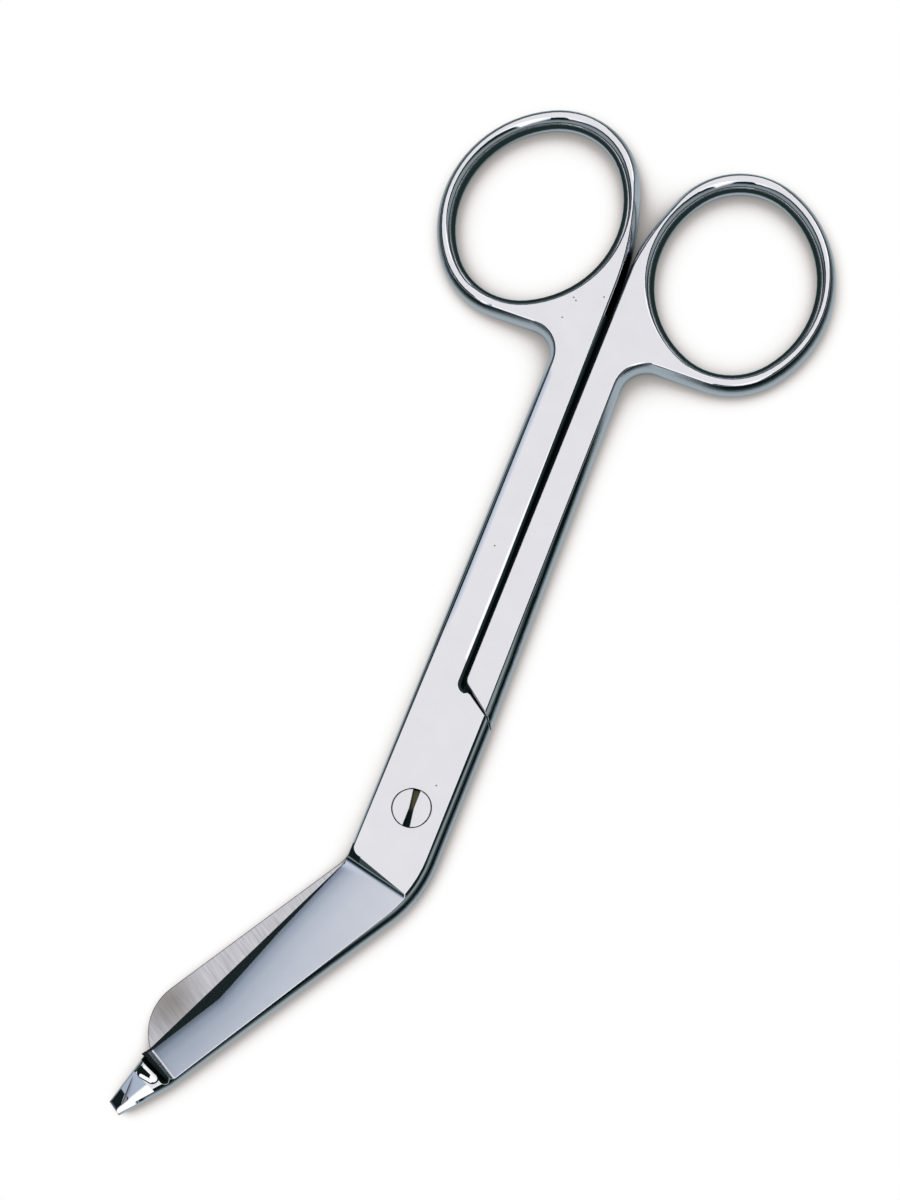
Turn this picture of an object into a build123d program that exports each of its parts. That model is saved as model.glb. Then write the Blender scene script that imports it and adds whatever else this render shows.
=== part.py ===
# Angled bandage scissors, closed and lying flat: two forged halves with finger rings, lapped at a
# flush slotted pivot screw. One blade is long and ends in a blunt probe, the other is short and round.
#
# Frame: the origin is on the pivot axis, in the underside that the scissors rest on. +Z points up out
# of the screw's head, and +Y runs along the shanks to the rings. Millimetres.
#
# Each half is drawn in a frame of its own, with its ring on the left and its layer of the lap on top.
# The short half is then turned over about the Y axis, as the real forgings are.

import os
from math import asin, atan2, cos, degrees, radians, sin, sqrt, tan

from build123d import *

# Thickness and clearances
thick = 4.0                # both layers at the pivot, and each shank and ring
lap_gap = 0.05             # between the two lap faces
shank_gap = 0.2            # between the shanks when closed
shank_seam_x = -0.05       # middle of that gap
step_gap = 0.15            # between a shank's shoulder and the other half's layer

# Finger rings, as ovals of four arcs, measured at mid-thickness
handle_length = 75.8       # pivot axis to the middle of the probe half's ring, along
short_ring_lag = 0.2       # how much nearer the other ring's middle is
probe_ring_x = 13.4        # ring's middle to pivot axis, across
short_ring_x = 12.75
hole_half_width = 10.0
hole_half_length = 11.8
ring_side_wall = 2.35      # ring's band at its sides
ring_end_wall = 2.55       # ring's band at its ends
probe_ring_lean = 12.5     # degrees, the rings' tops lean to each other
short_ring_lean = 15.0

# Shanks, at mid-thickness
root_radius = 3.3          # fillet from shank to ring
shoulder_radius = 36.0     # long curve from the ring's inside down to the shank's inside
probe_shank_high = 5.35    # outside of the probe half's shank at the ring
short_shank_high = 4.35    # outside of the short half's shank at the ring
shank_high_lag = 17.8      # from there up to the ring's middle
shank_low_y = 8.0
shank_middle_y = 30.0
waist_radius = 200.0       # long curve there, from the short half's shank to the pivot block's side
probe_inside_high = -0.2   # inside of the probe half's shank, before the seam is ground
probe_inside_low = 0.5
short_inside_high = -0.6   # inside of the short half's shank, likewise
short_inside_low = -0.9
inside_high_lag = 7.8      # from the inside's highest measured point up to the ring's middle

# Pivot block
left_side_x = 5.35         # pivot axis to the left side
right_side_x = 5.2         # pivot axis to the right side
notch_top_y = 18.0         # where the inside of each shank starts
notch_y = 15.75            # lowest point of the seam between the shanks
notch_radius = 0.9
shoulder_corner = 1.4      # rounding of a shank's inner corner, over the lap
step_in_x = 1.3            # the shoulder's slanting part, inner end
step_in_y = 15.6
step_bend_in = 0.8         # inside the side, where it turns down
step_bend_y = 13.5
step_out_y = 12.45         # its outer end, at the side
step_corner = 1.0          # rounding at both bends

# Blades, measured at mid-thickness
spine_angle = 32.1         # degrees off the shanks, both blades
spine_bend_y = 9.75        # below the pivot, where the probe blade's spine line meets the right side
bend_radius = 16.0         # of the bend at the right side
short_bend_y = 8.15        # below the pivot, where the short blade's spine line meets the left side
short_bend_radius = 4.0
probe_heel_y = 9.1         # below the pivot, where the probe blade's cutting edge starts
probe_edge_angle = 24.7    # degrees off the shanks
short_heel_y = 10.0
short_tip_radius = 6.5
short_edge_angle = 37.2    # degrees off the shanks
short_spine_length = 26.3  # from its bend to its round end
tip_clearance = 0.45       # between the short blade's end and the probe

# Blade faces
face_drop_edge = 0.95      # how much lower the blade's face is at its heel, on the cutting side
face_drop_spine = 0.05     # the same on the spine
face_drop_tip = 0.75       # at the end of the spine
face_wall_angle = 45.0     # slope of the wall between pivot flat and blade face
face_start_heel = 1.9      # above the heel, where that wall meets the cutting side
face_start_spine = 1.0     # below the bend, where it meets the spine
cove_radius = 0.9          # at the foot of that wall
bevel_width = 1.5          # ground bevel along the cutting edge, at its widest
bevel_stations = [(-0.02, 0.05), (0.33, 0.42), (0.65, 1.0), (1.02, 0.1)]  # share of length, of width
edge_land = 0.08           # left upright at the cutting edge

# Probe
probe_length = 6.8         # its left side
probe_left_angle = 15.1    # degrees off the shanks
probe_end_width = 1.95
probe_end_angle = -33.0    # heading of its blunt end
probe_root_angle = -25.0   # heading of the line where it meets the blade's face
probe_drop = 0.35          # how far its flats lie inside the full thickness
root_cove_radius = 0.4     # at the foot of the wall where it meets the blade's face
ridge_high = 1.1           # its ridge to its right side, at the blade
ridge_low = 1.45           # the same, at its end
ridge_fall = 11.0          # degrees, slope of the facet right of the ridge
crest_width = 0.8          # facet next to the blade
crest_fall = 20.0          # degrees, its slope

# Pivot screw
head_radius = 2.35
head_height = 0.9
head_clearance = 0.08
bearing_radius = 1.45
bearing_clearance = 0.05
thread_radius = 1.3
thread_clearance = 0.02
slot_waist = 0.5
slot_end = 1.0
slot_depth = 0.6
slot_turn = 5.0            # degrees

# How far each side bulges between the flats, and the radius of its edges at the flats
left_side = (0.62, 0.65)   # of the probe half's shank
left_heel = (0.5, 0.2)     # of both halves beside the pivot
outer_side = (1.0, 0.45)   # of the short half's shank
right_side = (1.2, 0.35)
ring_side = (0.7, 0.4)
hole_side = (1.1, 0.4)
gap_side = (0, 0.35)       # the shanks' inside, upright between two bevels
step_side = (0, 0.1)       # the lap's step and the outer end of a shoulder, likewise
edge_lift = 10.0           # degrees off the flat where the rounding of an edge starts

# Dependent sizes
half_turn = 180.0          # degrees
mid = thick / 2
shank_high_y = handle_length - shank_high_lag
inside_high_y = handle_length - inside_high_lag
lap_top = mid + lap_gap / 2
lap_low = mid - lap_gap / 2
margin = 0.8               # how far a cutting tool stands past what it cuts
reach = 80.0               # larger than any blade


def polar(center, radius, angle):
    return Vector(center.X + radius * cos(radians(angle)), center.Y + radius * sin(radians(angle)))


def heading(start, end):
    """Direction of a line in the plan, in degrees."""
    return degrees(atan2(end.Y - start.Y, end.X - start.X))


def crossing(p, angle_p, q, angle_q):
    """Point where two lines in the plan meet."""
    ux, uy = cos(radians(angle_p)), sin(radians(angle_p))
    vx, vy = cos(radians(angle_q)), sin(radians(angle_q))
    along = ((q.X - p.X) * vy - (q.Y - p.Y) * vx) / (ux * vy - uy * vx)
    return Vector(p.X + along * ux, p.Y + along * uy)


def reach_along(start, angle, radius, center=Vector(0, 0)):
    """Length of a line in the plan, from a start inside a circle, until it meets the circle."""
    from_center = start - center
    along = from_center.X * cos(radians(angle)) + from_center.Y * sin(radians(angle))
    return -along + sqrt(along**2 - from_center.length**2 + radius**2)


def side_profile(point, outward, side):
    """What is ground away outside a side that bulges by an arc and has rounded edges at the flats."""
    bulge, edge = side
    plane = Plane(
        origin=(point.X, point.Y, 0),
        x_dir=(cos(radians(outward)), sin(radians(outward)), 0),
        z_dir=(sin(radians(outward)), -cos(radians(outward)), 0),
    )
    if bulge == 0:
        return plane * level_face(
            (-edge, 0), (0, edge), (0, thick - edge), (-edge, thick), (-edge, thick + margin),
            (margin, thick + margin), (margin, -margin), (-edge, -margin),
        )
    radius = (bulge**2 + mid**2) / (2 * bulge)
    rise = mid - edge * cos(radians(edge_lift))
    inset = sqrt((radius - edge)**2 - rise**2)
    touch = degrees(atan2(rise, inset))
    flat_end = inset - radius + edge * sin(radians(edge_lift))
    turn = 90 - edge_lift - touch
    upper = CenterArc((inset - radius, mid + rise), edge, touch, turn)
    middle = CenterArc((-radius, mid), radius, -touch, 2 * touch)
    lower = CenterArc((inset - radius, mid - rise), edge, -touch - turn, turn)
    rest = Polyline(
        (flat_end, thick), (flat_end, thick + margin), (margin, thick + margin),
        (margin, -margin), (flat_end, -margin), (flat_end, 0),
    )
    return plane * Face(Wire([upper, middle, lower] + rest.edges()))


def straight(start, end, side=None, side_at_end=None):
    """One straight run of an outline, the solid on its left, and the cut that rounds its side."""
    edge = Line(start, end)
    if side is None:
        return edge, None
    outward = heading(start, end) - 90
    ends = [side_profile(start, outward, side), side_profile(end, outward, side_at_end or side)]
    return edge, loft(ends, ruled=True)


def curved(center, radius, start, sweep, side):
    """One arc of an outline. A negative sweep is a hollow curve, seen from the solid."""
    edge = CenterArc(center, radius, start, sweep)
    outward = start if sweep > 0 else start + half_turn
    axis = Axis((center.X, center.Y, 0), (0, 0, 1 if sweep > 0 else -1))
    return edge, revolve(side_profile(polar(center, radius, start), outward, side), axis, abs(sweep))


def rounded(point, along, onward, radius, side):
    """Arc that rounds an outline's corner, with the points where it starts and ends."""
    inward = 90 if onward > along else -90
    center = crossing(
        polar(point, radius, along + inward), along, polar(point, radius, onward + inward), onward
    )
    run = curved(center, radius, along - inward, onward - along, side)
    return run, polar(center, radius, along - inward), polar(center, radius, onward - inward)


def oval(half_width, half_length):
    """Radii, centre offsets and half-angle of an oval made of two end arcs and two side arcs."""
    longer = half_length - half_width
    end_offset = 2 * longer
    side_offset = longer * (2 * end_offset - longer) / (2 * (end_offset - longer))
    split = degrees(atan2(end_offset, side_offset))
    return half_length - end_offset, end_offset, half_width + side_offset, side_offset, split


def hole_runs(center, lean):
    """A finger hole's outline, of two end arcs and two side arcs that touch."""
    end_radius, end_offset, side_radius, side_offset, split = oval(hole_half_width, hole_half_length)
    half_end = 90 - split
    runs = []
    for turn in (90 - lean, 270 - lean):
        end_center = polar(center, end_offset, turn)
        side_center = polar(center, side_offset, turn - 90)
        runs.append(curved(end_center, end_radius, turn + half_end, -2 * half_end, hole_side))
        runs.append(curved(side_center, side_radius, turn + 90 + split, -2 * split, hole_side))
    return runs


def handle_runs(ring, lean, out_high, out_low, sides, heel, in_high, in_low):
    """The outline from the notch up the shank's inside, round the ring and down to the heel."""
    end_radius, end_offset, side_radius, side_offset, split = oval(
        hole_half_width + ring_side_wall, hole_half_length + ring_end_wall
    )
    top = polar(ring, end_offset, 90 - lean)
    low = polar(ring, end_offset, 270 - lean)
    bow = polar(ring, side_offset, -lean)

    # The long curve touches the shank's inside and, from within, the ring's upper end arc.
    up = heading(in_low, in_high)
    base = polar(in_low, shoulder_radius, up + 90)
    to_base = base - top
    along_up = to_base.X * cos(radians(up)) + to_base.Y * sin(radians(up))
    inner_reach = shoulder_radius - end_radius
    climb = -along_up - sqrt(along_up**2 - to_base.length**2 + inner_reach**2)
    shoulder = polar(base, climb, up)
    shoulder_start = polar(in_low, climb, up)
    leave = heading(shoulder, top)
    bow_start = half_turn - split - lean
    bow_end = half_turn + split - lean

    # The root line runs level from the ring's lowest point to the fillet at the shank.
    ring_low = polar(low, end_radius, 270)
    down = heading(out_high, out_low)
    fillet_line = polar(out_high, root_radius, down - 90)
    fillet = crossing(fillet_line, down, Vector(0, ring_low.Y - root_radius), 0)
    fillet_end = polar(fillet, root_radius, down + 90)
    shank_middle = crossing(out_high, down, Vector(0, shank_middle_y), 0)

    return [
        straight(in_low, shoulder_start, ring_side),
        curved(shoulder, shoulder_radius, up - 90, leave - up + 90, ring_side),
        curved(top, end_radius, leave, bow_start - leave, ring_side),
        curved(bow, side_radius, bow_start, 2 * split, ring_side),
        curved(low, end_radius, bow_end, 270 - bow_end, ring_side),
        straight(ring_low, Vector(fillet.X, ring_low.Y), ring_side),
        curved(fillet, root_radius, 90, down, ring_side),
        straight(fillet_end, shank_middle, ring_side, sides[0]),
        straight(shank_middle, heel, *sides),
    ]


def level_face(*corners):
    return make_face(Polyline(*corners, close=True))


def block(face, low, high):
    """The plan face as a solid between two heights."""
    return Pos(0, 0, low) * extrude(face, high - low)


def half_space(plane):
    """Everything on the upper side of a plane, near the part."""
    return plane * Pos(0, 0, 2 * reach) * Box(4 * reach, 4 * reach, 4 * reach)


def slab(runs, hole):
    """The outline at full thickness, with its rounded sides cut."""
    outside = Face(Wire([edge for edge, cut in runs]))
    inside = Face(Wire([edge for edge, cut in hole]))
    solid = extrude(outside, thick, dir=(0, 0, 1)) - extrude(inside, thick, dir=(0, 0, 1))
    return solid - [cut for edge, cut in runs + hole if cut is not None]


def beyond_step(seam, side_x):
    """What makes room for the other half's shank, over the lap and beside this half's shank."""
    wall = seam - shank_gap / 2
    inner = Vector(step_in_x, step_in_y)
    low = Vector(side_x - step_bend_in, step_bend_y)
    outer = Vector(side_x, step_out_y)
    outer += (outer - low) * (margin / step_bend_in)
    notch = Vector(wall, notch_y)
    steep, slant, level = heading(outer, low), heading(low, inner), heading(inner, notch)
    fold, fold_start, fold_end = rounded(low, steep, slant, step_corner, step_side)
    bend, bend_start, bend_end = rounded(inner, slant, level, step_corner, step_side)
    turn, turn_start, turn_end = rounded(notch, level, 90, notch_radius, gap_side)
    runs = [
        straight(outer, fold_start, step_side), fold,
        straight(fold_end, bend_start, step_side), bend,
        straight(bend_end, turn_start, step_side, gap_side), turn,
        straight(turn_end, Vector(wall, reach), gap_side),
    ]
    main = level_face(outer, low, inner, notch, (wall, reach), (reach, reach), (reach, outer.Y))
    main = Pos(margin / 2, margin / 2) * block(main, -margin, thick + margin)
    return [main] + [cut for edge, cut in runs]


def before_shank(seam, side_x, cleared):
    """What makes room below this half's shoulder for the other half's layer, out to a radius."""
    wall = seam - shank_gap / 2
    far = 2 * cleared
    low = Vector(step_bend_in - side_x, step_bend_y)
    slant = heading(low, Vector(-step_in_x, step_in_y))
    rise = Vector(0, step_gap / cos(radians(slant)))
    outer = Vector(-side_x, step_out_y)
    outer += (outer - low) * (margin / step_bend_in) + rise
    low += rise
    inner = crossing(low, slant, Vector(wall, 0), 90)
    fold, fold_start, fold_end = rounded(low, heading(outer, low), slant, step_corner, step_side)
    turn, turn_start, turn_end = rounded(inner, slant, 90, shoulder_corner, gap_side)
    runs = [
        straight(outer, fold_start, step_side), fold,
        straight(fold_end, turn_start, step_side, gap_side), turn,
    ]
    main = level_face(
        outer, low, turn_start, turn_end, (wall, notch_top_y), (far, notch_top_y), (far, -far),
        (-far, -far), (-far, -margin), (outer.X - margin, -margin),
    )
    main = Pos(margin / 2, -margin / 2) * block(main, -margin, lap_top)
    lower_layer = block(Circle(cleared), -2 * margin, lap_top)
    return [cut & lower_layer for cut in [main] + [cut for edge, cut in runs]]


def blade_plane(spine_heel, spine_end, edge_heel):
    """Outer face of a blade, lower at its cutting edge and towards its end."""
    start = Vector(spine_heel.X, spine_heel.Y, thick - face_drop_spine)
    along = Vector(spine_end.X, spine_end.Y, thick - face_drop_tip) - start
    across = Vector(edge_heel.X, edge_heel.Y, thick - face_drop_edge) - start
    return Plane(origin=start, x_dir=along, z_dir=across.cross(along))


def facet(point, height, across, fall):
    """Plane through a point of the plan at a height, that falls in one direction."""
    slope = tan(radians(fall))
    normal = Vector(cos(radians(across)) * slope, sin(radians(across)) * slope, 1)
    return Plane(origin=(point.X, point.Y, height), z_dir=normal)


def wall_plane(left, right, side):
    """Sloping wall that leads down from the flats to a blade's face, below the line left-right."""
    return facet(left, thick, heading(left, right) - 90 * side, face_wall_angle)


def coved(tool, line, radius):
    """Rounds the tool's edge beside a line in the flats' plane, so that it leaves a cove."""
    middle = (line[0] + line[1]) / 2
    crease = tool.edges().sort_by_distance((middle.X, middle.Y, thick))[0]
    return fillet(crease, radius)


def bevel(edge_heel, edge_end, face):
    """Cut that grinds the cutting edge, widest past the middle of the blade."""
    along = heading(edge_heel, edge_end)
    sections = []
    for share, width in bevel_stations:
        point = edge_heel + (edge_end - edge_heel) * share
        width = width * bevel_width
        inner = polar(point, width, along + 90)
        normal = face.z_dir
        drop = (inner - face.origin).X * normal.X + (inner - face.origin).Y * normal.Y
        low = lap_top + edge_land
        height = face.origin.Z - drop / normal.Z - low
        plane = Plane(
            origin=(point.X, point.Y, low),
            x_dir=(cos(radians(along + 90)), sin(radians(along + 90)), 0),
            z_dir=(-cos(radians(along)), -sin(radians(along)), 0),
        )
        sections.append(plane * level_face(
            (-width * margin, -height * margin), (2 * width, 2 * height),
            (-margin - width, 2 * height), (-margin - width, -height * margin),
        ))
    return loft(sections)


# The short blade's round end, in the short half's own frame, and how near the probe comes to it
short_corner = Vector(left_side_x, -short_bend_y)
short_spine_end = polar(short_corner, short_spine_length, 270 + spine_angle)
short_tip = polar(short_spine_end, short_tip_radius, half_turn + spine_angle)
probe_root = short_tip.length + short_tip_radius + tip_clearance


def build_probe_half():
    ring = Vector(-probe_ring_x, handle_length)
    heel = Vector(-left_side_x, -probe_heel_y)
    corner = Vector(right_side_x, -spine_bend_y)
    spine = 270 - spine_angle

    # The cutting edge ends where the probe stands clear of the short blade's end.
    cut = 270 - probe_edge_angle
    edge_end = polar(heel, reach_along(heel, cut, probe_root), cut)
    spine_end = crossing(corner, spine, edge_end, probe_root_angle)
    tip_left = polar(edge_end, probe_length, 270 - probe_left_angle)
    tip_right = polar(tip_left, probe_end_width, probe_end_angle)

    tangent = bend_radius * tan(radians(spine_angle / 2))
    bend = Vector(corner.X - bend_radius, corner.Y + tangent)
    bend_low = polar(bend, bend_radius, -spine_angle)
    bend_high = polar(bend, bend_radius, 0)
    side_top = Vector(right_side_x, notch_top_y)

    runs = handle_runs(
        ring, probe_ring_lean,
        Vector(-probe_shank_high, shank_high_y), Vector(-left_side_x, shank_low_y),
        (left_side, left_heel), heel,
        Vector(probe_inside_high, inside_high_y), Vector(probe_inside_low, notch_top_y),
    )
    runs += [
        straight(heel, edge_end),
        straight(edge_end, tip_left, right_side),
        straight(tip_left, tip_right, right_side),
        straight(tip_right, spine_end, right_side),
        straight(spine_end, bend_low, right_side),
        curved(bend, bend_radius, -spine_angle, spine_angle, right_side),
        straight(bend_high, side_top, right_side),
        straight(side_top, Vector(probe_inside_low, notch_top_y)),
    ]
    solid = slab(runs, hole_runs(ring, probe_ring_lean))
    solid -= beyond_step(shank_seam_x, right_side_x)
    solid -= before_shank(shank_seam_x, left_side_x, probe_root)

    face = blade_plane(corner, spine_end, heel)
    start = (heel + Vector(0, face_start_heel), corner - Vector(0, face_start_spine))
    ground = half_space(face) & half_space(wall_plane(*start, 1))
    ground &= half_space(wall_plane(edge_end, spine_end, -1))
    ground = coved(ground, start, cove_radius)
    solid -= coved(ground, (edge_end, spine_end), root_cove_radius)
    solid -= bevel(heel, edge_end, face)

    # The probe's flats lie lower. One facet falls to its right side, one to the blade.
    top = thick - probe_drop
    past_root = level_face(edge_end, spine_end, spine_end + Vector(0, -reach), edge_end + Vector(0, -reach))
    inward = heading(tip_right, spine_end) + 90
    ridge = polar(tip_right, ridge_low, inward)
    across = heading(ridge, polar(spine_end, ridge_high, inward)) - 90
    crest = polar(edge_end, crest_width, probe_root_angle - 90)
    solid -= block(past_root, -margin, probe_drop)
    solid -= block(past_root, top, thick + margin)
    solid -= half_space(facet(ridge, top, across, ridge_fall)) & block(past_root, mid, thick)
    solid -= half_space(facet(crest, top, probe_root_angle + 90, crest_fall)) & block(past_root, mid, thick)

    bore = Cylinder(bearing_radius + bearing_clearance, 4 * thick)
    seat = Pos(0, 0, thick) * Cylinder(head_radius + head_clearance, 2 * head_height)
    return solid - bore - seat


def build_short_half():
    ring = Vector(-short_ring_x, handle_length - short_ring_lag)
    corner = short_corner

    # The cutting edge leaves the side part of the way round its bend.
    tangent = bend_radius * tan(radians(spine_angle / 2))
    bend = Vector(bend_radius - right_side_x, tangent - spine_bend_y)
    bend_part = degrees(asin((short_heel_y + bend.Y) / bend_radius))
    heel = polar(bend, bend_radius, half_turn + bend_part)
    cut = 270 + short_edge_angle
    edge_end = polar(heel, reach_along(heel, cut, short_tip_radius, short_tip), cut)

    side_start = Vector(-right_side_x, bend.Y)
    spine_end = short_spine_end
    hollow = short_bend_radius * tan(radians(spine_angle / 2))
    hollow_center = Vector(corner.X + short_bend_radius, corner.Y + hollow)
    side_top = Vector(left_side_x, notch_top_y)
    high = Vector(-short_shank_high, shank_high_y)
    low = Vector(-right_side_x, shank_low_y)

    waist, waist_start, waist_end = rounded(low, heading(high, low), -90, waist_radius, right_side)
    runs = handle_runs(
        ring, short_ring_lean, high, low, (outer_side, right_side), waist_start,
        Vector(-short_inside_high, inside_high_y), Vector(-short_inside_low, notch_top_y),
    )
    turn = degrees(atan2(edge_end.Y - short_tip.Y, edge_end.X - short_tip.X))
    runs += [
        waist,
        straight(waist_end, side_start, right_side),
        curved(bend, bend_radius, half_turn, bend_part, right_side),
        straight(heel, edge_end),
        curved(short_tip, short_tip_radius, turn, spine_angle - turn, left_heel),
        straight(spine_end, polar(hollow_center, short_bend_radius, half_turn + spine_angle), left_heel),
        curved(hollow_center, short_bend_radius, half_turn + spine_angle, -spine_angle, left_heel),
        straight(polar(hollow_center, short_bend_radius, half_turn), side_top, left_heel),
        straight(side_top, Vector(-short_inside_low, notch_top_y)),
    ]
    solid = slab(runs, hole_runs(ring, short_ring_lean))
    solid -= beyond_step(-shank_seam_x, left_side_x)
    solid -= before_shank(-shank_seam_x, right_side_x, reach)

    face = blade_plane(corner, spine_end, heel)
    start = (heel + Vector(0, face_start_heel), corner - Vector(0, face_start_spine))
    solid -= coved(half_space(face) & half_space(wall_plane(*start, 1)), start, cove_radius)
    solid -= bevel(heel, edge_end, face)
    solid -= Cylinder(thread_radius + thread_clearance, 4 * thick)
    return Pos(0, 0, thick) * Rot(0, half_turn, 0) * solid


def build_screw():
    """Flush head with a slot narrow in the middle, bearing part, and thread to the underside."""
    head_low = thick - head_height
    head = Pos(0, 0, head_low) * extrude(Circle(head_radius), head_height)
    bearing = Pos(0, 0, lap_low) * extrude(Circle(bearing_radius), head_low - lap_low)
    thread = extrude(Circle(thread_radius), lap_low)
    slot = Polyline(
        (-slot_end / 2, head_radius + margin), (-slot_waist / 2, 0), (-slot_end / 2, -head_radius - margin),
        (slot_end / 2, -head_radius - margin), (slot_waist / 2, 0), (slot_end / 2, head_radius + margin),
        close=True,
    )
    cut = Rot(0, 0, slot_turn) * block(make_face(slot), thick - slot_depth, thick + margin)
    return head + bearing + thread - cut


os.makedirs("parts", exist_ok=True)
export_step(build_probe_half(), "parts/probe_blade_half.step")
export_step(build_short_half(), "parts/short_blade_half.step")
export_step(build_screw(), "parts/pivot_screw.step")
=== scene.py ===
"""Bandage scissors in polished steel, closed and lying on a white studio table, seen from above."""

from math import atan2, cos, degrees, radians, sin

import bpy
from mathutils import Matrix, Vector

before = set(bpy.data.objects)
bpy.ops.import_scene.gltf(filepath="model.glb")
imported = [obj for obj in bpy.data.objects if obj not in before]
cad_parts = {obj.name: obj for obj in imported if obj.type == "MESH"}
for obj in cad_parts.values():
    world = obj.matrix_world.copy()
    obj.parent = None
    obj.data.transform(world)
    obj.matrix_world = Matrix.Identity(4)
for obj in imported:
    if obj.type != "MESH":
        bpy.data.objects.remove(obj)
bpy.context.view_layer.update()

MM = 0.001
RIGHT, LEFT, LOWER_LEFT = 0.0, 180.0, 225.0        # in the plan, in degrees from +X

# Camera, in millimetres of the scissors' frame: as in the photograph, from above and a little from
# the right and the blade end, turned so that the scissors lean to the right
CAMERA_TARGET = Vector((-5.195, 25.561, 4.0))
CAMERA_DISTANCE = 520.0
CAMERA_TILT = 15.5         # degrees off the vertical
CAMERA_SIDE = -47.0        # degrees from +X, the side that it tilts to
CAMERA_ROLL = 22.112
CAMERA_LENS = 128.4
CAMERA_SENSOR = 36.0       # on the picture's long side

# Studio, in millimetres
TABLE_SIZE = 4000.0
TABLE_DROP = 0.02          # below the scissors' flat underside
TENT_RADIUS = 1200.0
NEARBY = 14.0              # how far over the paper the scissors' own shade is felt
RING_SHADE = (10.5, 8.5)   # from a ring's middle, where the paper in it starts to look dark in the steel

# White panel of the tent, as sideways distance over height
PANEL_MIDDLE = 0.25        # towards the rings
PANEL_END = (1.6, 2.2)     # in front and behind
PANEL_WIDE_FROM = 0.3      # past this its right edge goes outwards,
PANEL_WIDENING = 0.8       # by this share
HOT_RIGHT = (0.1, 0.2)     # where it is brighter to the right,
HOT_BACK = (0.6, 1.0)      # and in front and behind,
HOT_EXTRA = 0.35           # by this much

# Scissors, in millimetres, as in the part's source
THICK = 4.0
LAP_Z = 1.975                      # face of the lower layer
PROBE_HEEL = (-5.35, -9.1)         # where the long blade's cutting edge starts
PROBE_EDGE_ANGLE = -114.7          # degrees from +X, heading of that edge
PROBE_EDGE_LENGTH = 33.6
PROBE_SPINE = (5.2, -9.75)         # where its spine starts
SPINE_ANGLE = -122.1               # heading of both spines
PROBE_ROOT = (-18.9, -39.4)        # where the probe starts, on the cutting side
PROBE_ROOT_ANGLE = -115.0          # away from the blade
RINGS = [(-13.4, 75.8), (12.75, 75.6)]             # middles of the finger rings
SEAM_X = -0.05                     # middle of the gap between the shanks
BLADE_TOP_Y = -9.0                 # every blade lies below this

# Finish of the steel, in millimetres and degrees
EDGE_WEAR = 0.15                   # radius that the polishing wheel gives each crease
RECESS_SHADE_REACH = 0.9                  # narrower recesses get painted shade
WIPING_MARKS = 3.0
MIRROR_FINISH = 0.05               # roughness of the mirror polish,
SATIN_FINISH = 0.15                # of the belt's satin,
GROUND_FINISH = 0.25               # of the grinding wheel's cuts
OILY_FINISH = 0.45                 # and of old oil
BRIGHT_FALL = 12.0                 # slope, to the right, of a facet that mirrors the white of the tent
DARK_FALL = 23.0                   # slope of one that mirrors the tent's dark part
SKIN = 0.01                        # a flat counts as the face of the steel down to this depth
HAIR = 0.001                       # width over which a sharp mask changes

# Ground band along the long blade's cutting edge, and the rounding of the face behind it
BAND_WIDTH = 1.5
BAND_SHARES = [(0.0, 0.05), (0.33, 0.42), (0.65, 1.0), (1.0, 0.1)]         # of that width, along the edge
FACE_LEANS = [(0.0, 0.045), (0.8, 0.02), (2.0, 0.006), (4.0, 0.0)]         # by distance from the band
LAP_MARGIN = 0.08                  # the band ends this far above the lap
SHOULDER_FADE = 1.0                # the face's finish starts over this length at the shoulder,
BLADE_END_SPAN = (0.0, 0.5)        # over this one before the probe,
SATIN_START = (0.2, 1.0)           # and over this one from the spine

# Left shank: its outer edge is worn down, and the flat has a bright rim along the gap
SHANK_LEANS = [(-4.3, 0.09), (-4.0, 0.075), (-3.6, 0.035), (-2.9, 0.0)]    # by x
SHANK_SPANS = (12.0, 26.0), (60.0, 56.0)           # where along y the wear starts and ends
RIM_WIDTH = 0.75
RIM_SPANS = (18.0, 20.0), (66.0, 64.0)
SEAM_WIDTH = 0.7                   # of the ground bevel on each side of the gap
SEAM_ENDS = (14.0, 66.0)

# Rounded lower left corner of the pivot's flat
FLAT_CORNER = (-3.5, -6.4)
FLAT_CORNER_RADIUS = 1.3
FLAT_CORNER_END = -12.0            # y where it stops, on the blade's shoulder
FLAT_CORNER_DEPTH = 0.6

# Probe, filed by hand
PROBE_RIDGE = ((-17.0, -41.9), (-19.3, -45.9))     # between its two long facets
RIDGE_SPAN = (-0.1, 0.1)
PROBE_START = (-1.7, -1.9)         # its facets start this far past the root
PROBE_LOW = 3.1                    # lowest height of its facets,
LEFT_FACET_LOW = 3.3               # of the left one,
NEAR_END_LOW = 2.6                 # of the right one near the end
ROOT_LOW = 2.4                     # and of what is filed at the root
LEFT_FACET_FALL = 4.5
NEAR_END_SPAN = (-43.5, -45.5)     # along y
PROBE_END = (-19.4, -44.1)         # where its end starts to fall away, on the cutting side
PROBE_END_SPAN = (-0.1, 0.3)
ROOT_GROOVE = ((-18.8, -39.2), (-15.5, -40.9))     # filed across where the probe starts
GROOVE_SPAN = (0.62, 0.56)         # from its middle line
GROOVE_FACES = 160.0               # degrees from +X
ROOT_HOLLOW = ((-18.1, -41.0), (-16.9, -41.2))     # filed below it
HOLLOW_SPAN = (0.85, 0.8)
HOLLOW_FALL = 21.0
HOLLOW_FACES = 200.0
GLINT_EDGE = 0.06
ROOT_GLINTS = [                    # lines along the hollow's bright rim, with their half widths
    ((-18.3, -40.35), (-16.7, -41.0), 0.17),
    ((-18.3, -41.5), (-16.9, -41.7), 0.17),
    ((-16.8, -41.2), (-16.7, -41.3), 0.4),
]

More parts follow.
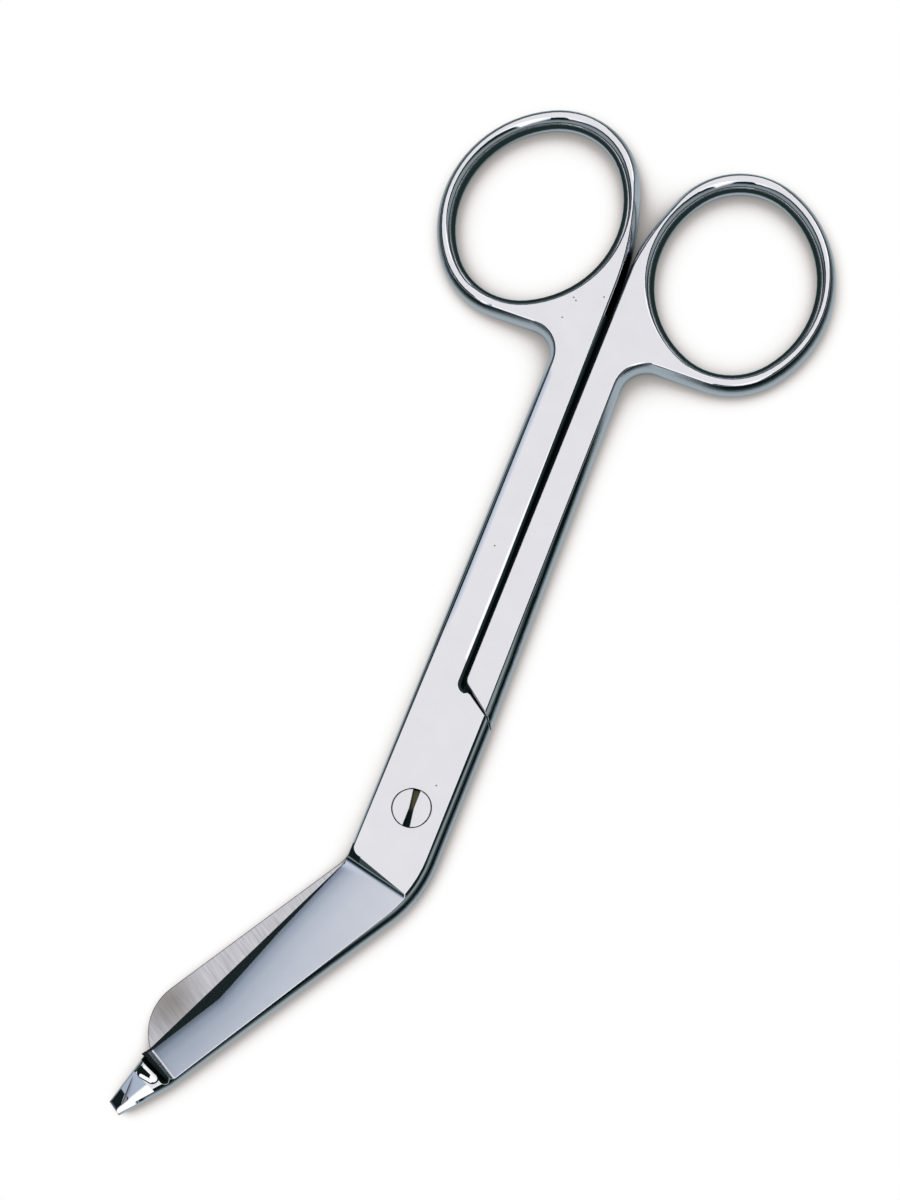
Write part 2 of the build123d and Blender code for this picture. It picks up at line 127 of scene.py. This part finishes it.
# Marks of use
PITS = [(1.8, 3.6), (-5.5, 63.8), (-1.6, 68.0), (-5.1, 66.7), (-4.7, 66.4), (-2.6, 33.8)]
PIT_SPAN = (0.05, 0.16)            # from its bottom to its rim
STAIN = (-18.9, -32.0)             # middle of a darker patch on the short blade
STAIN_RADIUS = 6.0
CUT_WIDTH = 0.33                   # of the grinding wheel's cuts on the short blade, drawn coarse to show
CUT_LENGTH = 4.0
CUT_LEAN = 0.3
CUT_DEPTH = 0.03                   # the ground face lies within this of the lap
SLOT_TOP = 0.05                    # the slot is painted dark as shade from this depth
SLOT_SHADE_SPAN = (-0.6, 0.6)             # along y, from black to brown


def linear(code):
    """A colour written as sRGB hex, as the linear values that Blender's sockets take."""
    values = [int(code[i:i + 2], 16) / 255 for i in (1, 3, 5)]
    return [v / 12.92 if v <= 0.04045 else ((v + 0.055) / 1.055) ** 2.4 for v in values] + [1.0]


def add_node(tree, kind, inputs=(), **settings):
    """Adds a node with its settings. Its inputs come by name, or in the order of those that it uses.

    Each is a value, a socket, or another node, which then gives its first output.
    """
    node = tree.nodes.new("ShaderNode" + kind)
    for name, value in settings.items():
        setattr(node, name, value)
    if not isinstance(inputs, dict):
        used = [i for i, socket in enumerate(node.inputs) if socket.enabled]
        inputs = dict(zip(used, inputs))
    for name, value in inputs.items():
        if isinstance(value, bpy.types.Node):
            value = next(output for output in value.outputs if output.enabled)
        if isinstance(value, bpy.types.NodeSocket):
            tree.links.new(value, node.inputs[name])
        else:
            node.inputs[name].default_value = value
    return node


def new_material(name):
    material = bpy.data.materials.new(name)
    material.use_nodes = True
    material.node_tree.nodes.clear()
    return material


def graded(tree, value, stops):
    """Colours or greys along a value. Each stop is the value where it stands and what it is there."""
    low, high = stops[0][0], stops[-1][0]
    share = add_node(tree, "MapRange", [value, low, high])
    node = add_node(tree, "ValToRGB", [share])
    elements = node.color_ramp.elements
    while len(elements) > 1:
        elements.remove(elements[-1])
    for place, color in stops:
        element = elements[0] if place == low else elements.new((place - low) / (high - low))
        element.position = (place - low) / (high - low)
        element.color = linear(color) if isinstance(color, str) else [color, color, color, 1.0]
    return node


def overlap(tree, first, *others):
    """A mask where all of these masks are."""
    for other in others:
        first = add_node(tree, "Math", [first, other], operation="MULTIPLY")
    return first


def mask_past(tree, value, *spans):
    """A mask where a value is past all of the spans, each given by where it starts and where it is full."""
    steps = [add_node(tree, "MapRange", [value, *span], interpolation_type="SMOOTHSTEP") for span in spans]
    return overlap(tree, *steps)


def above(limit):
    """The span of a sharp mask that starts at a limit and holds above it."""
    return limit, limit + HAIR


def below(limit):
    return limit, limit - HAIR


def heading(angle):
    """The direction in the plan that lies at an angle from +X."""
    return Vector((cos(radians(angle)), sin(radians(angle)), 0.0))


def place_in_millimetres(tree):
    """The place on a piece, in millimetres of the scissors' frame."""
    place = add_node(tree, "TexCoord").outputs["Object"]
    return add_node(tree, "VectorMath", [place, (1 / MM, 1 / MM, 1 / MM)], operation="MULTIPLY")


def plan_of(tree, place):
    """The place as seen from straight above."""
    return add_node(tree, "VectorMath", [place, (1.0, 1.0, 0.0)], operation="MULTIPLY")


def beside(tree, plan, point, angle):
    """Distance in the plan from a line through a point, on the side that the angle points to."""
    along = add_node(tree, "VectorMath", [plan, heading(angle)], operation="DOT_PRODUCT")
    return add_node(tree, "Math", [along, heading(angle).dot((*point, 0.0))], operation="SUBTRACT")


def from_line(tree, plan, start, end):
    """Distance in the plan from a short line."""
    start = Vector((*start, 0.0))
    line = Vector((*end, 0.0)) - start
    offset = add_node(tree, "VectorMath", [plan, start], operation="SUBTRACT")
    share = add_node(tree, "VectorMath", [offset, line / line.length_squared], operation="DOT_PRODUCT")
    share = add_node(tree, "Clamp", [share])
    nearest = add_node(tree, "VectorMath", [line, share], operation="SCALE")
    return add_node(tree, "VectorMath", [offset, nearest], operation="DISTANCE")


def leaned(tree, normal, share, angle):
    """A normal leaned over by a share of its length towards an angle in the plan of the piece."""
    outward = add_node(tree, "VectorTransform", [heading(angle)], vector_type="VECTOR",
                       convert_from="OBJECT", convert_to="WORLD")
    lean = add_node(tree, "VectorMath", [outward, share], operation="SCALE")
    total = add_node(tree, "VectorMath", [normal, lean], operation="ADD")
    return add_node(tree, "VectorMath", [total], operation="NORMALIZE")


def facing(tree, normal, mask, fall, angle):
    """Where the mask is 1, the normal of a facet that falls by some degrees towards an angle in the plan."""
    own = heading(angle) * sin(radians(fall)) + Vector((0.0, 0.0, cos(radians(fall))))
    own = add_node(tree, "VectorTransform", [own], vector_type="NORMAL",
                   convert_from="OBJECT", convert_to="WORLD")
    return add_node(tree, "Mix", [mask, normal, own], data_type="VECTOR")


def in_seam(tree, x, y, z):
    """A mask for the ground bevels along the gap between the shanks."""
    return overlap(
        tree, mask_past(tree, x, above(SEAM_X - SEAM_WIDTH), below(SEAM_X + SEAM_WIDTH)),
        mask_past(tree, y, above(SEAM_ENDS[0]), below(SEAM_ENDS[1])),
        mask_past(tree, z, above(LAP_Z), below(THICK - SKIN)),
    )


def pitted(tree, plan, color):
    """Small rust pits, darker than the polish round them."""
    for pit in PITS:
        away = add_node(tree, "VectorMath", [plan, (*pit, 0.0)], operation="DISTANCE")
        polished = mask_past(tree, away, PIT_SPAN)
        color = add_node(tree, "Mix", [polished, linear("#6f7276"), color], data_type="RGBA")
    return color


def with_recess_shade(tree, color):
    """Painted shade: narrow grooves and recesses are coloured dark green-black, for the shade that falls in
    them.
    """
    near = add_node(tree, "AmbientOcclusion", {"Distance": RECESS_SHADE_REACH * MM}, samples=12)
    unshaded = graded(tree, near.outputs["AO"], [(0.5, 0.0), (0.95, 1.0)])
    return add_node(tree, "Mix", [unshaded, linear("#14201f"), color], data_type="RGBA")


def polished_color(tree, place):
    """Mirror polish, with the faint cloudy marks that wiping leaves."""
    clouds = add_node(tree, "TexNoise", {"Vector": place, "Scale": 1 / WIPING_MARKS, "Detail": 2.0})
    return add_node(tree, "Mix", [clouds, linear("#dedde3"), linear("#e6e5ea")], data_type="RGBA")


def add_steel(tree, color, roughness, normal):
    """Bare steel: all that the eye sees in it is mirrored, sharply or softly, and hardly tinted."""
    steel = add_node(tree, "BsdfPrincipled", {
        "Base Color": color, "Metallic": 1.0, "Roughness": roughness, "Normal": normal,
    })
    add_node(tree, "OutputMaterial", [steel])


def blade_normal(tree, normal, plan, z, on_blade):
    """The belt rounds the long blade's face over towards the band that is ground along its edge."""
    outward = PROBE_EDGE_ANGLE - 90
    inside_edge = beside(tree, plan, PROBE_HEEL, PROBE_EDGE_ANGLE + 90)
    along_edge = beside(tree, plan, PROBE_HEEL, PROBE_EDGE_ANGLE)
    share = add_node(tree, "Math", [along_edge, PROBE_EDGE_LENGTH], operation="DIVIDE")
    band = graded(tree, share, BAND_SHARES)
    band = add_node(tree, "Math", [band, BAND_WIDTH], operation="MULTIPLY")
    past_band = add_node(tree, "Math", [inside_edge, band], operation="SUBTRACT")
    normal = leaned(tree, normal, overlap(tree, graded(tree, past_band, FACE_LEANS), on_blade), outward)
    on_band = overlap(tree, on_blade, mask_past(tree, past_band, below(0.0)),
                      mask_past(tree, z, above(LAP_Z + LAP_MARGIN)))
    return facing(tree, normal, on_band, DARK_FALL, outward)


def shank_normal(tree, normal, x, y, z):
    """The shank's flat is worn down to its outer side and has a bright rim and a bevel along the gap."""
    on_top = mask_past(tree, z, above(THICK - SKIN))
    worn = overlap(tree, graded(tree, x, SHANK_LEANS), on_top, mask_past(tree, y, *SHANK_SPANS))
    normal = leaned(tree, normal, worn, LEFT)
    on_rim = overlap(tree, on_top, mask_past(tree, x, above(SEAM_X - RIM_WIDTH)),
                     mask_past(tree, y, *RIM_SPANS))
    normal = facing(tree, normal, on_rim, BRIGHT_FALL, RIGHT)
    return facing(tree, normal, in_seam(tree, x, y, z), DARK_FALL, RIGHT)


def flat_corner_normal(tree, normal, plan, x, y, z):
    """The pivot's flat is rounded off at its lower left, and what is past the round falls away."""
    away = add_node(tree, "VectorMath", [plan, (*FLAT_CORNER, 0.0)], operation="DISTANCE")
    in_corner = overlap(
        tree, mask_past(tree, away, above(FLAT_CORNER_RADIUS)), mask_past(tree, x, below(FLAT_CORNER[0])),
        mask_past(tree, y, below(FLAT_CORNER[1]), above(FLAT_CORNER_END)),
        mask_past(tree, z, above(THICK - FLAT_CORNER_DEPTH)),
    )
    return facing(tree, normal, in_corner, DARK_FALL, LOWER_LEFT)


def probe_normal(tree, normal, plan, y, z, before_probe):
    """The probe is filed by hand: a facet on each side of its ridge, a blunt end, a groove at its root."""
    ridge_start, ridge_end = PROBE_RIDGE
    ridge_angle = degrees(atan2(ridge_end[1] - ridge_start[1], ridge_end[0] - ridge_start[0]))
    from_ridge = beside(tree, plan, ridge_start, ridge_angle - 90)
    left_of_ridge = mask_past(tree, from_ridge, RIDGE_SPAN)
    right_of_ridge = add_node(tree, "Math", [1.0, left_of_ridge], operation="SUBTRACT")
    on_probe = overlap(tree, mask_past(tree, before_probe, PROBE_START),
                       mask_past(tree, z, above(PROBE_LOW)))

    on_left = overlap(tree, on_probe, left_of_ridge, mask_past(tree, z, above(LEFT_FACET_LOW)))
    normal = facing(tree, normal, on_left, LEFT_FACET_FALL, LEFT)
    normal = facing(tree, normal, overlap(tree, on_probe, right_of_ridge), BRIGHT_FALL, RIGHT)
    near_end = overlap(tree, right_of_ridge, mask_past(tree, z, above(NEAR_END_LOW)),
                       mask_past(tree, y, NEAR_END_SPAN))
    normal = facing(tree, normal, near_end, BRIGHT_FALL, RIGHT)
    at_end = mask_past(tree, beside(tree, plan, PROBE_END, ridge_angle), PROBE_END_SPAN)
    normal = facing(tree, normal, overlap(tree, on_left, at_end), DARK_FALL, LOWER_LEFT)

    upper = mask_past(tree, z, above(ROOT_LOW))
    in_groove = mask_past(tree, from_line(tree, plan, *ROOT_GROOVE), GROOVE_SPAN)
    normal = facing(tree, normal, overlap(tree, upper, in_groove), DARK_FALL, GROOVE_FACES)
    in_hollow = mask_past(tree, from_line(tree, plan, *ROOT_HOLLOW), HOLLOW_SPAN)
    normal = facing(tree, normal, overlap(tree, upper, in_hollow), HOLLOW_FALL, HOLLOW_FACES)
    for start, end, half_width in ROOT_GLINTS:
        in_glint = mask_past(tree, from_line(tree, plan, start, end), (half_width + GLINT_EDGE, half_width))
        normal = facing(tree, normal, overlap(tree, upper, in_glint), BRIGHT_FALL, RIGHT)
    return normal


def polished_forged_steel():
    """Forged stainless steel, mirror polished, so that it shows the studio in sharp bands of light and
    dark. The long blade's face is finished satin by a belt and shows it softly."""
    material = new_material("polished_forged_steel")
    tree = material.node_tree
    place = place_in_millimetres(tree)
    plan = plan_of(tree, place)
    x, y, z = add_node(tree, "SeparateXYZ", [place]).outputs
    before_probe = beside(tree, plan, PROBE_ROOT, PROBE_ROOT_ANGLE + 180)
    on_blade = overlap(tree, mask_past(tree, y, (BLADE_TOP_Y, BLADE_TOP_Y - SHOULDER_FADE)),
                       mask_past(tree, before_probe, BLADE_END_SPAN))

    normal = add_node(tree, "Bevel", [EDGE_WEAR * MM], samples=8)
    normal = blade_normal(tree, normal, plan, z, on_blade)
    normal = shank_normal(tree, normal, x, y, z)
    normal = flat_corner_normal(tree, normal, plan, x, y, z)
    normal = probe_normal(tree, normal, plan, y, z, before_probe)

    from_spine = beside(tree, plan, PROBE_SPINE, SPINE_ANGLE - 90)
    satin = overlap(tree, on_blade, mask_past(tree, from_spine, SATIN_START))
    roughness = add_node(tree, "Math", [satin, SATIN_FINISH - MIRROR_FINISH, MIRROR_FINISH],
                         operation="MULTIPLY_ADD")
    # The polish gets painted shade in its recesses, then the rust pits.
    color = pitted(tree, plan, with_recess_shade(tree, polished_color(tree, place)))
    add_steel(tree, color, roughness, normal)
    return material


def ground_forged_steel():
    """The same steel, with the blade's lap face left as the grinding wheel cut it, across the blade, so
    that it looks grey and streaky beside the polish."""
    material = new_material("ground_forged_steel")
    tree = material.node_tree
    place = place_in_millimetres(tree)
    plan = plan_of(tree, place)
    x, y, z = add_node(tree, "SeparateXYZ", [place]).outputs
    ground = overlap(tree, mask_past(tree, z, above(LAP_Z - CUT_DEPTH), below(LAP_Z + CUT_DEPTH)),
                     mask_past(tree, y, below(BLADE_TOP_Y)))
    across = add_node(tree, "Mapping", {
        "Vector": place, "Rotation": (0.0, 0.0, radians(SPINE_ANGLE)), "Scale": (CUT_WIDTH, CUT_LENGTH, 1.0),
    }, vector_type="TEXTURE")
    cuts = add_node(tree, "TexNoise", {"Vector": across, "Scale": 1.0, "Detail": 4.0})

    normal = add_node(tree, "Bevel", [EDGE_WEAR * MM], samples=8)
    lean = add_node(tree, "Math", [cuts, CUT_LEAN, -CUT_LEAN / 2], operation="MULTIPLY_ADD")
    normal = leaned(tree, normal, overlap(tree, lean, ground), SPINE_ANGLE)
    normal = facing(tree, normal, in_seam(tree, x, y, z), DARK_FALL, LEFT)

    deep = overlap(tree, cuts, ground)
    color = add_node(tree, "Mix", [deep, polished_color(tree, place), linear("#b0aeb3")], data_type="RGBA")
    from_stain = add_node(tree, "VectorMath", [plan, (*STAIN, 0.0)], operation="DISTANCE")
    stained = overlap(tree, ground, mask_past(tree, from_stain, (STAIN_RADIUS, 0.0)))
    color = add_node(tree, "Mix", [stained, color, linear("#989492")], data_type="RGBA")
    # Painted shade in the recesses, left off the ground face.
    color = add_node(tree, "Mix", [ground, with_recess_shade(tree, color), color], data_type="RGBA")
    roughness = add_node(tree, "Math", [ground, GROUND_FINISH - MIRROR_FINISH, MIRROR_FINISH],
                         operation="MULTIPLY_ADD")
    add_steel(tree, color, roughness, normal)
    return material


def turned_screw_steel():
    """Turned stainless steel, its head polished flush with the blade, its slot dull with old oil and its
    colour painted dark as the slot's shade.
    """
    material = new_material("turned_screw_steel")
    tree = material.node_tree
    place = place_in_millimetres(tree)
    coordinates = add_node(tree, "SeparateXYZ", [place]).outputs
    in_slot = mask_past(tree, coordinates["Z"], below(THICK - SLOT_TOP))
    # Painted shade in the slot, from black to brown along y.
    brown = mask_past(tree, coordinates["Y"], SLOT_SHADE_SPAN)
    slot_shade = add_node(tree, "Mix", [brown, linear("#16201e"), linear("#57543f")], data_type="RGBA")
    color = add_node(tree, "Mix", [in_slot, polished_color(tree, place), slot_shade], data_type="RGBA")
    roughness = add_node(tree, "Math", [in_slot, OILY_FINISH - MIRROR_FINISH, MIRROR_FINISH],
                         operation="MULTIPLY_ADD")
    add_steel(tree, color, roughness, add_node(tree, "Bevel", [EDGE_WEAR * MM], samples=8))
    return material


def white_seamless_paper():
    """Matt white paper, with the scissors' soft contact shadow. The steel mirrors it cooler, light only
    close to itself and dark further away and inside the rings."""
    material = new_material("white_seamless_paper")
    tree = material.node_tree
    near = add_node(tree, "AmbientOcclusion", {"Distance": NEARBY * MM}, samples=24).outputs["AO"]
    # Painted shadow: the paper's glow is darkened where the scissors stand near.
    shadow = graded(tree, near, [
        (0.0, "#000000"), (0.5, "#b0adaa"), (0.6, "#dcd9d7"), (0.68, "#f3f1f0"), (0.76, "#ffffff"),
    ])
    # Painted reflection: what the steel mirrors of the paper is light only close to the scissors, dark
    # further away and, below, inside the rings.
    mirrored = graded(tree, near, [
        (0.0, "#0a1010"), (0.45, "#78868a"), (0.6, "#afbdc3"), (0.87, "#a9b6ba"), (0.95, "#2a3a3c"),
        (1.0, "#0c1616"),
    ])
    plan = plan_of(tree, place_in_millimetres(tree))
    for ring in RINGS:
        away = add_node(tree, "VectorMath", [plan, (*ring, 0.0)], operation="DISTANCE")
        inside = mask_past(tree, away, RING_SHADE)
        mirrored = add_node(tree, "Mix", [inside, mirrored, linear("#243331")], data_type="RGBA")
    path = add_node(tree, "LightPath").outputs
    color = add_node(tree, "Mix", [path["Is Glossy Ray"], shadow, mirrored], data_type="RGBA")
    seen = add_node(tree, "Math", [path["Is Camera Ray"], path["Is Glossy Ray"]], operation="MAXIMUM")
    matt = add_node(tree, "BsdfDiffuse", [linear("#f2f2f2")])
    glow = add_node(tree, "Emission", [color, 1.0])
    add_node(tree, "OutputMaterial", [add_node(tree, "MixShader", [seen, matt, glow])])
    return material


def light_tent_cloth():
    """White cloth lit from behind. Seen from the table it is a white panel overhead, wider to the front
    and back, bluish where it ends, and dark below."""
    material = new_material("light_tent_cloth")
    tree = material.node_tree
    x, y, z = add_node(tree, "SeparateXYZ", [place_in_millimetres(tree)]).outputs
    height = add_node(tree, "Math", [z, 1.0], operation="MAXIMUM")
    right = add_node(tree, "Math", [x, height], operation="DIVIDE")
    back = add_node(tree, "Math", [y, height], operation="DIVIDE")
    back = add_node(tree, "Math", [back, PANEL_MIDDLE], operation="SUBTRACT")
    back = add_node(tree, "Math", [back], operation="ABSOLUTE")

    wider = add_node(tree, "Math", [back, PANEL_WIDE_FROM], operation="SUBTRACT")
    wider = add_node(tree, "Math", [wider, 0.0], operation="MAXIMUM")
    wider = add_node(tree, "Math", [wider, PANEL_WIDENING], operation="MULTIPLY")
    on_right = add_node(tree, "Math", [right, 0.0], operation="GREATER_THAN")
    across = add_node(tree, "Math", [right, overlap(tree, wider, on_right)], operation="SUBTRACT")
    panel = graded(tree, across, [
        (-0.58, "#121c1c"), (-0.52, "#33474b"), (-0.47, "#78879b"), (-0.42, "#a8bacb"), (-0.38, "#d6e1ee"),
        (-0.335, "#ffffff"), (0.38, "#ffffff"), (0.43, "#9fb0c0"), (0.50, "#28342f"), (0.55, "#121c1c"),
    ])

    # Below the panel the cloth is dark, with a grey band low down for the steel's look from the sides.
    up = add_node(tree, "Math", [z, TENT_RADIUS], operation="DIVIDE")
    below_panel = graded(tree, up, [
        (0.15, "#343f42"), (0.22, "#7d898a"), (0.38, "#7d898a"), (0.46, "#101a1a"), (0.62, "#101a1a"),
        (0.8, "#283434"),
    ])
    past_panel = mask_past(tree, back, PANEL_END)
    color = add_node(tree, "Mix", [past_panel, panel, below_panel], data_type="RGBA")
    color = add_node(tree, "Mix", [1.0, color, below_panel], data_type="RGBA", blend_type="LIGHTEN")
    hot = add_node(tree, "Math", [mask_past(tree, right, HOT_RIGHT), mask_past(tree, back, HOT_BACK)],
                   operation="MAXIMUM")
    strength = add_node(tree, "Math", [hot, HOT_EXTRA, 1.0], operation="MULTIPLY_ADD")
    add_node(tree, "OutputMaterial", [add_node(tree, "Emission", [color, strength])])
    return material


def make_table():
    bpy.ops.mesh.primitive_plane_add(size=TABLE_SIZE * MM, location=(0, 0, -TABLE_DROP * MM))
    table = bpy.context.object
    bpy.ops.object.transform_apply(location=True, rotation=True, scale=True)
    table.name = "studio_table"
    table.data.materials.append(white_seamless_paper())
    return table


def make_tent():
    bpy.ops.mesh.primitive_uv_sphere_add(radius=TENT_RADIUS * MM, segments=64, ring_count=32)
    tent = bpy.context.object
    tent.name = "light_tent"
    tent.data.materials.append(light_tent_cloth())
    tent.visible_camera = False
    tent.visible_shadow = False
    return tent


def make_world():
    world = bpy.data.worlds.new("white_studio")
    world.use_nodes = True
    background = world.node_tree.nodes["Background"]
    background.inputs["Color"].default_value = linear("#ffffff")
    background.inputs["Strength"].default_value = 1.0
    bpy.context.scene.world = world


def make_camera():
    tilt, side, roll = radians(CAMERA_TILT), radians(CAMERA_SIDE), radians(CAMERA_ROLL)
    back = Vector((sin(tilt) * cos(side), sin(tilt) * sin(side), cos(tilt)))
    level_up = (Vector((0, 1, 0)) - back * back.y).normalized()
    level_right = level_up.cross(back)
    up = cos(roll) * level_up - sin(roll) * level_right
    right = sin(roll) * level_up + cos(roll) * level_right
    camera = bpy.data.objects.new("camera", bpy.data.cameras.new("camera"))
    bpy.context.scene.collection.objects.link(camera)
    place = (CAMERA_TARGET + back * CAMERA_DISTANCE) * MM
    turn = Matrix((right, up, back)).transposed().to_4x4()
    camera.matrix_world = Matrix.Translation(place) @ turn
    camera.data.lens = CAMERA_LENS
    camera.data.sensor_fit = "AUTO"
    camera.data.sensor_width = CAMERA_SENSOR
    camera.data.clip_start = 0.01
    camera.data.clip_end = 10.0
    bpy.context.scene.camera = camera


bpy.ops.object.select_all(action="DESELECT")
bpy.context.scene.view_settings.view_transform = "Standard"
steels = {
    "probe_blade_half": polished_forged_steel(),
    "short_blade_half": ground_forged_steel(),
    "pivot_screw": turned_screw_steel(),
}
for name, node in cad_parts.items():
    node.data.materials.clear()
    node.data.materials.append(steels[name])

make_world()
make_table()
make_tent()
make_camera()
